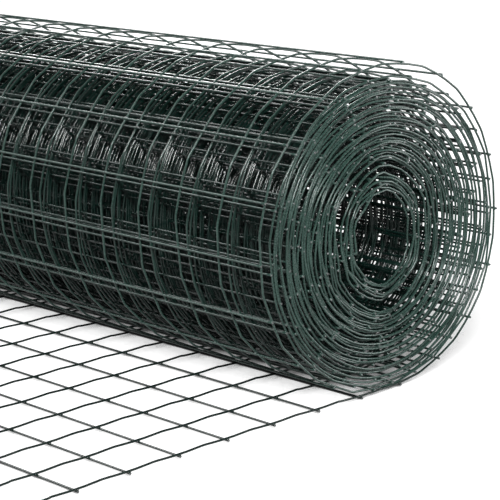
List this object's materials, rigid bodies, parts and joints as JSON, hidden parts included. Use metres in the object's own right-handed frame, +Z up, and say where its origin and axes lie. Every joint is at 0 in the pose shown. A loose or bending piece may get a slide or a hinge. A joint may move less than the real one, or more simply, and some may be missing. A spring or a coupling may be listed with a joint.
{
  "type": "roll of welded wire fencing",
  "caption": "Roll of green plastic-coated welded wire mesh fencing on its side, with a round bore and its free end drawn out flat in front.",
  "frame": {"origin": "on the floor, under the middle of the whole thing", "axes": "+X along the roll towards the end that shows, -Y the way that the free end is drawn out, +Z up"},
  "size_m": [1.003, 0.5254, 0.2783],
  "materials": {
    "coated_wire": "dark green plastic coating, satin, over steel wire"
  },
  "bodies": {
    "root": {"roll": "coated_wire", "unrolled_end": "coated_wire"}
  },
  "joints": []
}
